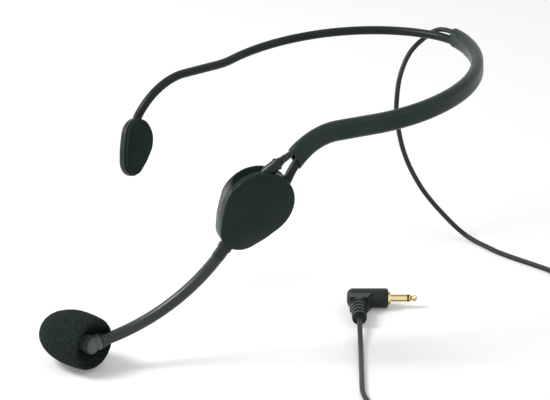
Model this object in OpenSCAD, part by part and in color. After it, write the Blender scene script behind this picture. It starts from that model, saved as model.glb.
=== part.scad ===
// Neckband headset microphone: a bent spring band with a flat cable sleeve, a pod on the left
// temple, a soft pad on the right one, a linked gooseneck boom and a foam-covered capsule.
// Millimetres. +X is the way the wearer faces, +Y the wearer's left, +Z up. The origin lies in
// the plane of the band, in the middle of the head that it clasps.

/* [Band wire] */
// Diameter of the bare spring wire
core_d = 2.0; // [1.6:0.1:2.4]
// Diameter over the wire's rubber skin
skin_d = 4.3; // [3.8:0.1:4.8]
// From the middle of the head back to the nape
nape_back = 80; // [74:1:90]
// Forward tilt of the band's plane, in degrees
band_pitch = 4.5; // [0:0.5:8]
// Bend radius at the nape
nape_r = 40; // [34:1:46]
// Half of the nape bend, in degrees
nape_a = 17; // [15:1:19]
// Bend radius behind the ear
side_r = 72; // [66:1:78]
// Bend angle behind the ear
side_a = 52; // [49:1:55]
// Bend radius over the ear
ear_r = 80; // [74:1:86]
// Bend angle over the ear
ear_a = 33; // [30:1:36]
// Bend radius of the outward flare in front of the ear
flare_r = 70; // [60:1:80]
// Angle of that flare
flare_a = 9.5; // [8:0.5:11]
// Straight run before the temple hook
arm_run = 22; // [18:1:26]
// Bend radius of the temple hook
hook_r = 33; // [30:1:36]
// Angle of the temple hook
hook_a = 60; // [56:1:64]
// Length of wire that each housing grips
tail_run = 13; // [11:1:14]

/* [Cable sleeve] */
// Height of the flat sleeve's section
sleeve_h = 10; // [9.4:0.2:11]
// Wall of the sleeve
sleeve_wall = 0.7; // [0.5:0.1:0.9]
// Room between the sleeve and the wire's skin
sleeve_play = 0.1; // [0.1:0.05:0.2]
// How far from the middle of the nape the sleeve stops
sleeve_gap = 4.5; // [3:0.5:6]
// Hook angle that the sleeve still covers
sleeve_hook_a = 44; // [38:1:46]
// Diameter of the microphone cable
cable_d = 2.5; // [2.2:0.1:2.8]

/* [Pod] */
// Turn of the pod's face towards the front
pod_toe = 18; // [12:1:24]
// Lean of the pod's face towards the floor
pod_lean = 12; // [6:1:18]
// Dip of the pod's long axis below level
pod_dip = 56; // [50:1:62]
// Radius of the pod's big end
pod_big_r = 17.3; // [16.7:0.2:18.1]
// Radius of the pod's narrow end
pod_tip_r = 11.1; // [10.5:0.2:11.7]
// Wall of the pod's shells
pod_wall = 1.6; // [1.2:0.1:2]
// Height of the cover's crown over the wire's plane
pod_crown = 6.8; // [6.2:0.2:7.6]
// Depth of the base behind the wire's plane
pod_depth = 4.8; // [4.6:0.2:5.6]
// Thickness of the cushion under the pod
pod_cushion_t = 2.6; // [2.2:0.2:4]

/* [Temple pad] */
// Radius of the temple pad's broad end
pad_big_r = 10.5; // [10:0.1:11.1]
// Radius of its narrow end
pad_tip_r = 7.2; // [6.6:0.2:7.8]
// Thickness of its cushion
pad_cushion_t = 2.4; // [2:0.2:3.6]

/* [Boom] */
// Distance between two balls of the gooseneck
link_pitch = 8.8; // [8.4:0.1:9.2]
// Bend stored in each joint at rest, in degrees
link_bend = 5.6; // [4:0.2:6]
// Radius of a ball
ball_r = 1.5; // [1.4:0.05:1.55]
// Outer radius of a link
link_r = 2.1; // [2.1:0.05:2.2]
// Running play between ball and cup
ball_play = 0.25; // [0.15:0.05:0.25]
// Outer diameter of the boom's rubber skin
boom_d = 5.6; // [5.6:0.1:6]

/* [Microphone] */
// Outer diameter of the collar that takes the boom
collar_d = 8; // [7.6:0.2:8.6]
// Outer diameter of the capsule tube
tube_d = 8.2; // [8.2:0.1:8.6]
// Diameter of the microphone capsule
capsule_d = 6; // [5.8:0.1:6.2]
// Play between the foam and the capsule tube
foam_play = 0.3; // [0.3:0.05:0.5]
// Largest diameter of the foam
foam_d = 26.8; // [26.2:0.2:28.4]
// Length of the foam
foam_len = 32; // [30.5:0.5:34]

/* [Plug] */
// Diameter of the plug's contact pin
pin_d = 3.5; // [3.4:0.05:3.6]
// Length of the contact pin
pin_len = 14; // [13:0.5:15]

/* [Hidden] */
$fn = 48;
eps = 0.01;

// ---- Matrices ----
function shift_m(v) = [[1, 0, 0, v[0]], [0, 1, 0, v[1]], [0, 0, 1, v[2]], [0, 0, 0, 1]];
function rx_m(a) = [[1, 0, 0, 0], [0, cos(a), -sin(a), 0], [0, sin(a), cos(a), 0], [0, 0, 0, 1]];
function ry_m(a) = [[cos(a), 0, sin(a), 0], [0, 1, 0, 0], [-sin(a), 0, cos(a), 0], [0, 0, 0, 1]];
function rz_m(a) = [[cos(a), -sin(a), 0, 0], [sin(a), cos(a), 0, 0], [0, 0, 1, 0], [0, 0, 0, 1]];
function at_m(m, p) = [for (row = [0:2]) m[row] * [p[0], p[1], p[2], 1]];
function dir_m(m, p) = [for (row = [0:2]) m[row] * [p[0], p[1], p[2], 0]];
function unit(v) = v / norm(v);

// ---- A bent rod: each step is [feed, turn of the bend's plane, bend radius, bend angle] ----
function step_m(s) = shift_m([0, 0, s[0]]) * rz_m(s[1]) * shift_m([s[2], 0, 0]) * ry_m(s[3])
    * shift_m([-s[2], 0, 0]) * rz_m(-s[1]);
function run_m(steps, n) = n == 0 ? shift_m([0, 0, 0]) : run_m(steps, n - 1) * step_m(steps[n - 1]);

// The frames along the steps, with one ring for each few degrees of bend
ring_step = 6.5;
function cuts(s) = max(1, round(s[3] / ring_step));
function step_frames(s) = concat(s[0] > 0 && s[3] > 0 ? [step_m([s[0], s[1], s[2], 0])] : [],
    [for (k = [1:cuts(s)]) step_m([s[0], s[1], s[2], s[3] * k / cuts(s)])]);
function frames(steps) = concat([shift_m([0, 0, 0])], [for (i = [0:len(steps) - 1])
    for (f = step_frames(steps[i])) run_m(steps, i) * f]);

// Rings of points: a flat profile carried to each frame, on one arm, then from one arm to the other
function near_rings(steps, profile, from = shift_m([0, 0, 0])) = [for (f = frames(steps))
    [for (p = profile) at_m(nape_m * from * f, [p[0], p[1], 0])]];
function far_side(rings) = [for (i = [len(rings) - 1:-1:1]) [for (p = rings[i])
    [p[0], -p[1], p[2]]]];
function all_round(far_steps, near_steps, profile) = concat(far_side(near_rings(far_steps,
    profile)), near_rings(near_steps, profile));
function disc(r, n = 12) = [for (k = [0:n - 1]) r * [cos(360 * k / n), sin(360 * k / n)]];
function stadium(w, h, n = 8) = [for (half = [0, 180]) for (k = [0:n - 1])
    let (a = half + 180 * k / (n - 1)) [w / 2 * cos(a), w / 2 * sin(a) + (half == 0 ? 1 : -1)
        * (h - w) / 2]];
function moved(profile, off) = [for (p = profile) p + [0, off]];

function wall_faces(count, n, from) = [for (i = [0:count - 2]) for (k = [0:n - 1])
    let (next = (k + 1) % n, here = from + i * n, there = here + n)
    [here + k, there + k, there + next, here + next]];
function turned(face) = [for (i = [len(face) - 1:-1:0]) face[i]];

module rod(rings) {
    n = len(rings[0]);
    count = len(rings);
    polyhedron(points = [for (ring = rings) for (p = ring) p], faces = concat(
        wall_faces(count, n, 0), [[for (k = [0:n - 1]) k]],
        [[for (k = [n - 1:-1:0]) (count - 1) * n + k]]));
}

module pipe(outer, inner) {
    n = len(outer[0]);
    count = len(outer);
    hole = n * count;
    far = (count - 1) * n;
    polyhedron(points = concat([for (ring = outer) for (p = ring) p],
        [for (ring = inner) for (p = ring) p]), faces = concat(wall_faces(count, n, 0),
        [for (face = wall_faces(count, n, hole)) turned(face)],
        [for (k = [0:n - 1]) let (next = (k + 1) % n) [k, next, hole + next, hole + k]],
        [for (k = [0:n - 1]) let (next = (k + 1) % n)
            [far + next, far + k, hole + far + k, hole + far + next]]));
}

// ---- The band ----
flare_turn = 230;
hook_turn = 98;
side_steps = [[0, 0, nape_r, nape_a], [0, 0, side_r, side_a], [0, 0, ear_r, ear_a],
    [0, flare_turn, flare_r, flare_a]];
hook_step = [arm_run, hook_turn, hook_r, hook_a];
arm_steps = concat(side_steps, [hook_step]);
nape_m = ry_m(band_pitch) * shift_m([-nape_back, 0, 0]) * rx_m(-90);
hook_m = nape_m * run_m(arm_steps, len(arm_steps));

// The pod's axes: X down its long axis, Z out of its face
pod_turn_m = rz_m(-pod_toe) * rx_m(-pod_lean) * rx_m(-90) * rz_m(pod_dip);

// A last short bend lays the wire's tail along that long axis
tail_r = 8;
tail_way = [for (axis = [0:2]) [hook_m[0][axis], hook_m[1][axis], hook_m[2][axis]]
    * dir_m(pod_turn_m, [1, 0, 0])];
tail_turn = atan2(tail_way[1], tail_way[0]);
tail_a = acos(tail_way[2]);
tail_bend = [0, tail_turn, tail_r, tail_a];
tail_from = tail_r * sin(tail_a);
wire_steps = concat(arm_steps, [tail_bend, [tail_run, 0, 1, 0]]);
skin_tail = 1.5;
skin_steps = concat(arm_steps, [tail_bend, [skin_tail, 0, 1, 0]]);
tail_at = at_m(hook_m * step_m(tail_bend), [0, 0, 0]);

// The pod's frame, with its origin where the wire goes in
pod_m = shift_m(tail_at) * pod_turn_m * shift_m([-tail_from, 0, 0]);

module band_wire() {
    color("silver") rod(all_round(wire_steps, wire_steps, disc(core_d / 2)));
}

module band_skin() {
    color([0.16, 0.17, 0.17]) pipe(all_round(skin_steps, skin_steps, disc(skin_d / 2)),
        all_round(skin_steps, skin_steps, disc(core_d / 2 + 0.02)));
}

// ---- The flat sleeve, with the cable above the wire ----
slot_w = skin_d + 2 * sleeve_play;
sleeve_t = slot_w + 2 * sleeve_wall;
slot_h = sleeve_h - 2 * sleeve_wall;
sleeve_mid = -(slot_h - slot_w) / 2;
cable_off = sleeve_mid - slot_h / 2 + cable_d / 2 + 0.3;
gap_a = sleeve_gap / nape_r * 180 / PI;
gap_m = step_m([0, 0, nape_r, gap_a]);
sleeve_steps = concat([[0, 0, nape_r, nape_a - gap_a]],
    [for (i = [1:len(side_steps) - 1]) side_steps[i]],
    [[arm_run, hook_turn, hook_r, sleeve_hook_a]]);

// The near arm, from just beside the middle of the nape
function along_sleeve(profile) = near_rings(sleeve_steps, profile, gap_m);

module cable_sleeve() {
    color([0.2, 0.22, 0.21]) pipe(along_sleeve(moved(stadium(sleeve_t, sleeve_h), sleeve_mid)),
        along_sleeve(moved(stadium(slot_w, slot_h), sleeve_mid)));
}

module cable_in_sleeve() {
    color([0.1, 0.1, 0.1]) rod(along_sleeve(moved(disc(cable_d / 2, 8), cable_off)));
}

// ---- Swept tubes along points ----
function tangent(p, i) = unit(p[min(i + 1, len(p) - 1)] - p[max(i - 1, 0)]);
function side_of(t) = unit(cross(t, abs(t[2]) < 0.9 ? [0, 0, 1] : [0, 1, 0]));
function carried(s, t) = unit(s - t * (s * t));
function sides(p, i) = i == 0 ? [side_of(tangent(p, 0))]
    : let (before = sides(p, i - 1)) concat(before, [carried(before[i - 1], tangent(p, i))]);

module tube(points, d, n = 8) {
    count = len(points);
    across = sides(points, count - 1);
    rings = [for (i = [0:count - 1]) let (t = tangent(points, i), a = across[i], b = cross(t, a))
        for (k = [0:n - 1]) points[i] + d / 2 * (a * cos(360 * k / n) + b * sin(360 * k / n))];
    walls = [for (i = [0:count - 2]) for (k = [0:n - 1])
        let (next = (k + 1) % n, here = i * n, there = here + n)
        [here + k, there + k, there + next, here + next]];
    polyhedron(points = rings, faces = concat(walls, [[for (k = [0:n - 1]) k],
        [for (k = [n - 1:-1:0]) (count - 1) * n + k]]));
}

function bezier(a, b, c, d, t) = pow(1 - t, 3) * a + 3 * t * pow(1 - t, 2) * b
    + 3 * t * t * (1 - t) * c + pow(t, 3) * d;

// A curve through the points, with n pieces between two of them
function through(p, i, t) = let (last = len(p) - 1, a = p[max(i - 1, 0)], b = p[i],
    c = p[min(i + 1, last)], d = p[min(i + 2, last)])
    0.5 * (2 * b + (c - a) * t + (2 * a - 5 * b + 4 * c - d) * t * t
        + (3 * b - a - 3 * c + d) * pow(t, 3));
function smooth_route(p, n) = concat([for (i = [0:len(p) - 2]) for (k = [0:n - 1])
    through(p, i, k / n)], [p[len(p) - 1]]);

// ---- Rounded egg shapes ----
// Half profile of a lens: low face, rounded edge of radius c at height edge, crown at height top
function lens_profile(r, low, edge, top, c) = concat([[0, low], [r, low]],
    [for (a = [0:18:72]) [r - c + c * cos(a), edge - c + c * sin(a)]],
    [for (t = [1:-0.2:0]) [(r - c) * t, edge + (top - edge) * (1 - t * t)]]);

module lens(r, low, edge, top, c) {
    rotate_extrude($fn = 40) polygon(lens_profile(r, low, edge, top, c));
}

module egg_lens(big, tip, low, edge, top, tip_top, c) {
    hull() {
        translate([big[0], big[1], 0]) lens(big[2], low, edge, top, c);
        translate([tip[0], tip[1], 0]) lens(tip[2], low, edge, tip_top, c);
    }
}

// ---- The pod ----
pod_big = [pod_big_r - 0.8, -6.6, pod_big_r];
pod_tip = [pod_big_r + 13, -5.8, pod_tip_r];
pod_end = pod_tip[0] + pod_tip_r;
pod_split = 0.6;
cover_edge = 4.6;
tip_drop = 1.2;
fit = 0.1;
relief_at = [1.6, -12.6];
relief_turn = -20;
relief_d = 6;
relief_out = 7;
relief_nose = 1.8;
relief_in = 4.4;
cable_in = 12;
boom_turn = 1.5;
ball_1 = [pod_end + 9.1, -5.6];
ferrule_d = 6;
ferrule_in = 13;
screw_spots = [[25.5, 3], [25.5, -16.2]];
screw_d = 2;
screw_head_d = 3.8;
boss_d = 4.6;
anchor_size = [8, 4.8, 5];
anchor_from = tail_from + 4.2;
relief_m = pod_m * shift_m([relief_at[0], relief_at[1], 0]) * rz_m(relief_turn) * ry_m(90);
ferrule_m = pod_m * shift_m([ball_1[0], ball_1[1], 0]) * rz_m(boom_turn) * ry_m(90);

module on_pod() {
    multmatrix(pod_m) children();
}

// Holes that both shells share: for the wire, the cable's relief and the boom's ferrule
module pod_holes() {
    translate([-4, 0, -0.2]) rotate([0, 90, 0]) cylinder(d = skin_d + 1, h = 9);
    translate([relief_at[0], relief_at[1], 0]) rotate([0, 0, relief_turn]) rotate([0, 90, 0])
        translate([0, 0, -8]) cylinder(d = relief_d + 2 * fit, h = 16);
    translate([ball_1[0], ball_1[1], 0]) rotate([0, 0, boom_turn]) rotate([0, 90, 0])
        translate([0, 0, -ferrule_in - 1]) cylinder(d = ferrule_d + 2 * fit, h = ferrule_in);
}

// The hollow of the pod, up from a given level to under the crown
module pod_room(low, edge, top, tip_top) {
    egg_lens([pod_big[0], pod_big[1], pod_big[2] - pod_wall],
        [pod_tip[0], pod_tip[1], pod_tip[2] - pod_wall], low, edge, top, tip_top, 1.6);
}

module pod_cover() {
    color([0.09, 0.11, 0.11]) on_pod() {
        difference() {
            egg_lens(pod_big, pod_tip, pod_split, cover_edge, pod_crown, pod_crown - tip_drop, 2.4);
            pod_room(pod_split - 1, cover_edge - pod_wall, pod_crown - pod_wall,
                pod_crown - tip_drop - pod_wall);
            pod_holes();
        }
        for (spot = screw_spots) translate([spot[0], spot[1], pod_split]) difference() {
            cylinder(d = boss_d, h = cover_edge - pod_wall - pod_split + 0.6);
            translate([0, 0, -1]) cylinder(d = screw_d, h = 4);
        }
    }
}

module pod_base() {
    color([0.13, 0.14, 0.14]) on_pod() {
        difference() {
            mirror([0, 0, 1]) egg_lens(pod_big, pod_tip, fit - pod_split, pod_depth,
                pod_depth, pod_depth, 1.8);
            mirror([0, 0, 1]) pod_room(-pod_split - 1, pod_depth - pod_wall,
                pod_depth - pod_wall, pod_depth - pod_wall);
            pod_holes();
            for (spot = screw_spots) translate([spot[0], spot[1], -pod_depth - 1]) {
                cylinder(d = screw_d + 0.3, h = pod_depth);
                cylinder(d = screw_head_d + 0.3, h = 1.9);
            }
        }
        for (spot = screw_spots) translate([spot[0], spot[1], -pod_depth + pod_wall])
            difference() {
                cylinder(d = boss_d, h = pod_depth - pod_wall + pod_split - fit);
                translate([0, 0, -1]) cylinder(d = screw_d + 0.3, h = pod_depth + pod_split + 1);
            }
        // Two ribs hold the anchor block between them
        for (side = [0, 1]) difference() {
            translate([anchor_from - 1.3 + side * (anchor_size[0] + 1.4), -3.5, -pod_depth + pod_wall])
                cube([1.2, 7, pod_depth - pod_wall + 0.4]);
            translate([0, 0, 0]) rotate([0, 90, 0]) cylinder(d = skin_d + 0.4, h = 30);
        }
    }
}

module pod_cushion() {
    color([0.05, 0.05, 0.05]) on_pod() mirror([0, 0, 1]) translate([0, 0, pod_depth])
        difference() {
            egg_lens([pod_big[0], pod_big[1], pod_big[2] - 1.4],
                [pod_tip[0], pod_tip[1], pod_tip[2] - 1.4], 0, pod_cushion_t,
                pod_cushion_t, pod_cushion_t, 1.6);
        }
}

module screw(length) {
    difference() {
        union() {
            cylinder(d = screw_head_d, h = 0.8);
            cylinder(d = screw_d, h = length);
        }
        for (turn = [0, 90]) rotate([0, 0, turn]) translate([0, 0, -0.1])
            linear_extrude(0.5) square([2.4, 0.5], center = true);
    }
}

module pod_screws() {
    color("silver") on_pod() for (spot = screw_spots)
        translate([spot[0], spot[1], -pod_depth + 0.1]) screw(pod_depth + pod_split + 2.6);
}

// A crimped block on the wire's tail
module anchor(size) {
    translate([anchor_from + size[0] / 2, 0, 0]) difference() {
        cube(size, center = true);
        rotate([0, 90, 0]) cylinder(d = core_d, h = size[0] + 2, center = true);
    }
}

module band_anchor() {
    color("goldenrod") on_pod() anchor(anchor_size);
}

// The relief's collar and nose stand outside, and a flange in the pod keeps it in
module cable_relief() {
    color([0.16, 0.18, 0.18]) multmatrix(relief_m) difference() {
        union() {
            translate([0, 0, -relief_out]) cylinder(d = relief_d - 0.6, h = relief_out + relief_in);
            translate([0, 0, -relief_out]) cylinder(d = relief_d, h = 1.5);
            translate([0, 0, -relief_out - relief_nose])
                cylinder(d1 = cable_d + 0.9, d2 = cable_d + 2.1, h = relief_nose + 0.1);
            translate([0, 0, relief_in - 1.2]) cylinder(d = relief_d, h = 1.2);
        }
        translate([0, 0, -relief_out - relief_nose - 1])
            cylinder(d = cable_d, h = relief_out + relief_nose + relief_in + 2);
    }
}

clamp_size = [3.2, 4.4, 4];
module cable_clamp() {
    color("silver") multmatrix(relief_m) translate([0, 0, cable_in - 4.2]) difference() {
        translate([-clamp_size[2] / 2, -clamp_size[1] / 2, 0])
            cube([clamp_size[2], clamp_size[1], clamp_size[0]]);
        translate([0, 0, -1]) cylinder(d = cable_d, h = clamp_size[0] + 2);
    }
}

splice_len = 6;
module splice_sleeve() {
    color([0.05, 0.05, 0.05]) multmatrix(relief_m) translate([0, 0, cable_in])
        cylinder(d = 3.2, h = splice_len);
}

// The cable's way from the sleeve's end, round into the relief and on to the splice
sleeve_end_m = nape_m * gap_m * run_m(sleeve_steps, len(sleeve_steps));
leave_at = at_m(sleeve_end_m, [0, cable_off, 0]);
leave_way = dir_m(sleeve_end_m, [0, 0, 1]);
meet_at = at_m(relief_m, [0, 0, -relief_out - relief_nose]);
meet_way = dir_m(relief_m, [0, 0, 1]);
bridge_handle = 3.2;
bridge = [for (i = [0:8]) bezier(leave_at, leave_at + bridge_handle * leave_way,
    meet_at - bridge_handle * meet_way, meet_at, i / 8)];
module cable_at_pod() {
    color([0.1, 0.1, 0.1]) {
        tube(bridge, cable_d, 12);
        multmatrix(relief_m) translate([0, 0, -relief_out - relief_nose])
            cylinder(d = cable_d, h = relief_out + relief_nose + cable_in);
    }
}

// ---- The temple pad on the other arm ----
pad_big = [pad_big_r + 1.35, 1.35, pad_big_r];
pad_tip = [pad_big_r + 12.75, 0.1, pad_tip_r];
pad_low = -2.2;
pad_edge = 1.6;
pad_top = 3.5;
pad_wall = 1.2;
pad_anchor_size = [8, 4.8, 2.9];

module on_temple() {
    mirror([0, 1, 0]) multmatrix(pod_m) children();
}

module temple_shell() {
    color([0.09, 0.11, 0.11]) on_temple() {
        difference() {
            egg_lens(pad_big, pad_tip, pad_low, pad_edge, pad_top, pad_top, 1.8);
            egg_lens([pad_big[0], pad_big[1], pad_big[2] - pad_wall],
                [pad_tip[0], pad_tip[1], pad_tip[2] - pad_wall], pad_low - 1,
                pad_edge - pad_wall + 0.9, pad_top - pad_wall, pad_top - pad_wall, 1.2);
            translate([-4, 0, -0.1]) rotate([0, 90, 0]) cylinder(d = skin_d + 0.4, h = 9);
        }
        for (side = [0, 1]) difference() {
            translate([anchor_from - 1.3 + side * (pad_anchor_size[0] + 1.4), -3.5, pad_low])
                cube([1.2, 7, pad_top - pad_wall - pad_low + 0.1]);
            rotate([0, 90, 0]) cylinder(d = skin_d + 0.4, h = 30);
        }
    }
}

module temple_cushion() {
    color([0.05, 0.05, 0.05]) on_temple() mirror([0, 0, 1]) translate([0, 0, -pad_low])
        egg_lens([pad_big[0], pad_big[1], pad_big[2] - 1], [pad_tip[0], pad_tip[1],
            pad_tip[2] - 1], 0, pad_cushion_t, pad_cushion_t, pad_cushion_t, 1.4);
}

module temple_anchor() {
    color("goldenrod") on_temple() anchor(pad_anchor_size);
}

// ---- The boom: balls on one end of each link, cups on the other ----
cup_rim = 0.7;
neck_r = 0.9;
barrel_from = 1.7;
lead_bore = 1.7;
lead_d = 1.2;
joints = 8;
cup_r = ball_r + ball_play;
function link_m(k) = k == 1 ? ferrule_m * rx_m(link_bend)
    : link_m(k - 1) * shift_m([0, 0, link_pitch]) * rx_m(link_bend);
stem_m = link_m(joints);

module ball_end() {
    sphere(r = ball_r, $fn = 40);
    cylinder(r = neck_r, h = barrel_from + 0.3);
}

module cup_hollow() {
    sphere(r = cup_r, $fn = 40);
}

module link() {
    color("darkgray") difference() {
        union() {
            ball_end();
            translate([0, 0, barrel_from]) cylinder(r = link_r, h = link_pitch - barrel_from + cup_rim);
        }
        translate([0, 0, link_pitch]) cup_hollow();
        translate([0, 0, -ball_r - 1]) cylinder(d = lead_bore, h = link_pitch + ball_r + 2);
    }
}

skin_from = -1.6;
module boom_ferrule() {
    color([0.12, 0.13, 0.13]) multmatrix(ferrule_m) difference() {
        union() {
            translate([0, 0, -ferrule_in - 3]) cylinder(d = ferrule_d, h = ferrule_in + 3 + skin_from);
            translate([0, 0, skin_from - 1]) cylinder(r = link_r, h = cup_rim - skin_from + 1);
            translate([0, 0, -8.6]) cylinder(d = ferrule_d + 0.8, h = 2);
        }
        cup_hollow();
        translate([0, 0, -ferrule_in - 4]) cylinder(d = lead_bore, h = ferrule_in + 6);
        translate([0, 0, -ferrule_in - 1.2]) difference() {
            cylinder(d = ferrule_d + 2, h = 1);
            translate([0, 0, -1]) cylinder(d = ferrule_d - 1.6, h = 3);
        }
    }
}

// A clip in the ferrule's groove, behind the shell's wall
module boom_clip() {
    color("silver") multmatrix(ferrule_m) translate([0, 0, -ferrule_in - 1.1]) difference() {
        cylinder(d = ferrule_d + 1.8, h = 0.8);
        translate([0, 0, -1]) cylinder(d = ferrule_d - 1.5, h = 3);
        translate([pod_depth - pod_wall - 0.1, -10, -1]) cube([10, 20, 3]);
        translate([-13, -10, -1]) cube([10, 20, 3]);
        translate([-10, -1.6, -1]) cube([10, 3.2, 3]);
    }
}

module boom_link_1() multmatrix(link_m(1)) link();
module boom_link_2() multmatrix(link_m(2)) link();
module boom_link_3() multmatrix(link_m(3)) link();
module boom_link_4() multmatrix(link_m(4)) link();
module boom_link_5() multmatrix(link_m(5)) link();
module boom_link_6() multmatrix(link_m(6)) link();
module boom_link_7() multmatrix(link_m(7)) link();

// The rubber skin follows the arc through the balls
arc_r = link_pitch / 2 / sin(link_bend / 2);
skin_end = 2.2;
skin_m = ferrule_m * rx_m(link_bend / 2);
skin_frames = concat([ferrule_m * shift_m([0, 0, skin_from])],
    [for (k = [0:(joints - 1) * 2]) skin_m * step_m([0, -90, arc_r, link_bend * k / 2])],
    [stem_m * shift_m([0, 0, skin_end])]);
function skin_rings(r) = [for (f = skin_frames) [for (p = disc(r, 14)) at_m(f, [p[0], p[1], 0])]];
module boom_skin() {
    color([0.1, 0.12, 0.12]) pipe(skin_rings(boom_d / 2), skin_rings(link_r + 0.25));
}

// ---- The microphone ----
stem_len = 10.2;
collar_from = 1.6;
recess_to = 4.4;
stem_body_d = 5.6;
stem_body_to = 5.6;
capsule_turn = 4.5;
capsule_lean = 60.5;
rear_z = -2.8;
rear_round = 0.8;
front_z = 3;
spigot_d = 6.9;
tube_bore = 7;
room_d = 6;
tube_end = 12.6;
capsule_from = 7;
capsule_len = 2.8;
capsule_m = stem_m * shift_m([0, 0, stem_len]) * rz_m(capsule_turn) * ry_m(capsule_lean);

module mic_stem() {
    color("silver") multmatrix(stem_m) difference() {
        union() {
            ball_end();
            translate([0, 0, skin_end + 0.3])
                cylinder(d = stem_body_d - 1.4, h = stem_body_to - skin_end - 0.3);
            translate([0, 0, barrel_from]) cylinder(r = link_r, h = 3);
            translate([0, 0, recess_to]) cylinder(d = stem_body_d, h = stem_body_to - recess_to);
        }
        translate([0, 0, -ball_r - 1]) cylinder(d = lead_bore, h = 20);
    }
}

module mic_elbow() {
    color([0.16, 0.18, 0.18]) difference() {
        union() {
            multmatrix(stem_m) translate([0, 0, collar_from])
                cylinder(d = collar_d, h = stem_len - collar_from);
            multmatrix(capsule_m) {
                rotate_extrude() polygon(concat([[0, front_z], [0, rear_z]],
                    [for (a = [-90:15:0]) [tube_d / 2 - rear_round + rear_round * cos(a),
                        rear_z + rear_round + rear_round * sin(a)]], [[tube_d / 2, front_z]]));
                cylinder(d = spigot_d, h = front_z + 2);
            }
        }
        multmatrix(stem_m) {
            translate([0, 0, collar_from - 1])
                cylinder(d = collar_d - 1.6, h = recess_to - collar_from + 1);
            cylinder(d = stem_body_d, h = stem_body_to);
            cylinder(d = lead_bore, h = stem_len);
        }
        multmatrix(capsule_m) {
            translate([0, 0, rear_z - 1]) cylinder(d = room_d, h = front_z - rear_z + 4);
            // Sound slots behind the capsule
            for (side = [0, 180]) rotate([0, 0, side + 90]) translate([0, -2.2, 0.9])
                cube([6, 4.4, 1.1]);
        }
    }
}

module mic_rear_cap() {
    color([0.2, 0.22, 0.22]) multmatrix(capsule_m) translate([0, 0, rear_z]) {
        cylinder(d = room_d - 1.2, h = 0.6);
        rotate_extrude() polygon(concat([[0, 0]], [for (a = [0:15:90])
            [(tube_d / 2 - rear_round) * cos(a), -1.1 * sin(a)]]));
    }
}

module capsule_tube() {
    color([0.14, 0.15, 0.15]) multmatrix(capsule_m) translate([0, 0, front_z]) difference() {
        cylinder(d = tube_d, h = tube_end - front_z);
        translate([0, 0, -1]) cylinder(d = tube_bore, h = tube_end);
    }
}

module capsule_boot() {
    color([0.3, 0.1, 0.08]) multmatrix(capsule_m) translate([0, 0, capsule_from - 0.4]) difference() {
        cylinder(d = tube_bore, h = capsule_len + 0.8);
        translate([0, 0, 0.4]) cylinder(d = capsule_d, h = capsule_len + 2);
        translate([0, 0, -1]) cylinder(d = capsule_d - 1.6, h = 3);
    }
}

module mic_capsule() {
    color("silver") multmatrix(capsule_m) translate([0, 0, capsule_from]) difference() {
        cylinder(d = capsule_d, h = capsule_len);
        translate([0, 0, capsule_len - 0.4]) cylinder(d = 2, h = 1);
    }
}

module capsule_board() {
    color("green") multmatrix(capsule_m) translate([0, 0, capsule_from - 1.3])
        cylinder(d = capsule_d - 0.2, h = 0.8);
}

module front_grille() {
    color("darkgray") multmatrix(capsule_m) translate([0, 0, tube_end]) difference() {
        union() {
            cylinder(d = tube_d, h = 0.8);
            translate([0, 0, -1]) cylinder(d = tube_bore - 0.1, h = 1.5);
        }
        translate([0, 0, -2]) cylinder(d = room_d, h = 2);
        for (turn = [0:60:300]) rotate([0, 0, turn]) translate([1.9, 0, -2]) cylinder(d = 0.9, h = 4);
        translate([0, 0, -2]) cylinder(d = 0.9, h = 4);
    }
}

// The foam: dished round the tube at the back, a plain dome in front
foam_r = foam_d / 2;
foam_back = -2.8;
foam_bend = 21;
foam_bore_r = tube_d / 2 + foam_play;
module foam_windscreen() {
    color([0.08, 0.09, 0.09]) multmatrix(capsule_m) rotate_extrude($fn = 64)
        polygon(concat(
            [[0, tube_end + 1.2], [foam_bore_r, tube_end + 1.2], [foam_bore_r, 4.2]],
            [[foam_bore_r + 0.8, 3.6], [foam_r - 3.6, -0.5], [foam_r - 2.6, foam_back + 0.6],
                [foam_r - 1.9, foam_back], [foam_r - 1.1, foam_back + 0.6],
                [foam_r - 0.5, foam_back + 2.3], [foam_r - 0.05, foam_back + 5.6]],
            [for (a = [0:7.5:90]) [foam_r * cos(a),
                foam_len + foam_back - foam_bend + foam_bend * sin(a)]]));
}

// The microphone's own lead, from the splice through the boom to the board
lead_room = [[20.2, -18.9], [21.8, -17.2], [22.5, -14.6], [24, -12], [27, -9.6], [30.6, -7.2]];
lead_points = concat([at_m(relief_m, [0, 0, cable_in + splice_len])],
    [for (p = lead_room) at_m(pod_m, [p[0], p[1], 0])],
    [for (z = [-ferrule_in - 4.4, -ferrule_in - 1, -8, -3]) at_m(ferrule_m, [0, 0, z])],
    [for (k = [1:joints]) at_m(link_m(k), [0, 0, 0])],
    [at_m(stem_m, [0, 0, 5]), at_m(stem_m, [0, 0, stem_len - 2.4])],
    [at_m(capsule_m, [0, 0, 1.6]), at_m(capsule_m, [0, 0, capsule_from - 1.3])]);
module mic_lead() {
    color([0.5, 0.1, 0.1]) tube(lead_points, lead_d);
}

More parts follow.
